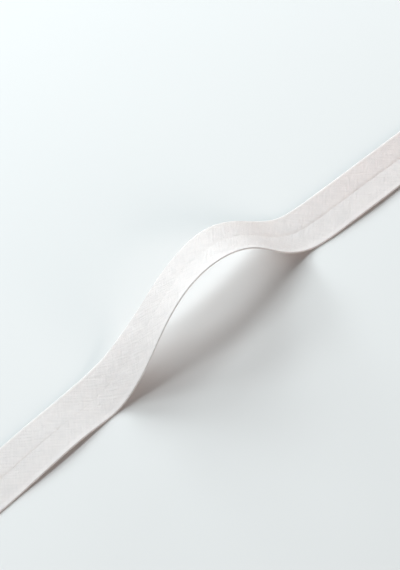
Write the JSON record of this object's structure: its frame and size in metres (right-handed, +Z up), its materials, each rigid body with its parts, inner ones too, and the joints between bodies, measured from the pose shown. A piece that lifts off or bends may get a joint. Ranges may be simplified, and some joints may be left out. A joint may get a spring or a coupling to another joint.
{
  "type": "cut length of bias tape",
  "caption": "Cut length of pale single-fold bias tape lying flat with one hump, its long sides turned in to meet along a centre line.",
  "frame": {"origin": "middle of the bounding box, on the surface the tape lies on", "axes": "+X along the tape, +Y towards the side that the hump leans to, +Z up, with the turned-in sides on top"},
  "size_m": [0.2886, 0.0298, 0.0282],
  "materials": {
    "tape_cloth": "matt plain-weave cotton, pale pinkish white"
  },
  "bodies": {
    "root": {"bias_tape": "tape_cloth"}
  },
  "joints": []
}
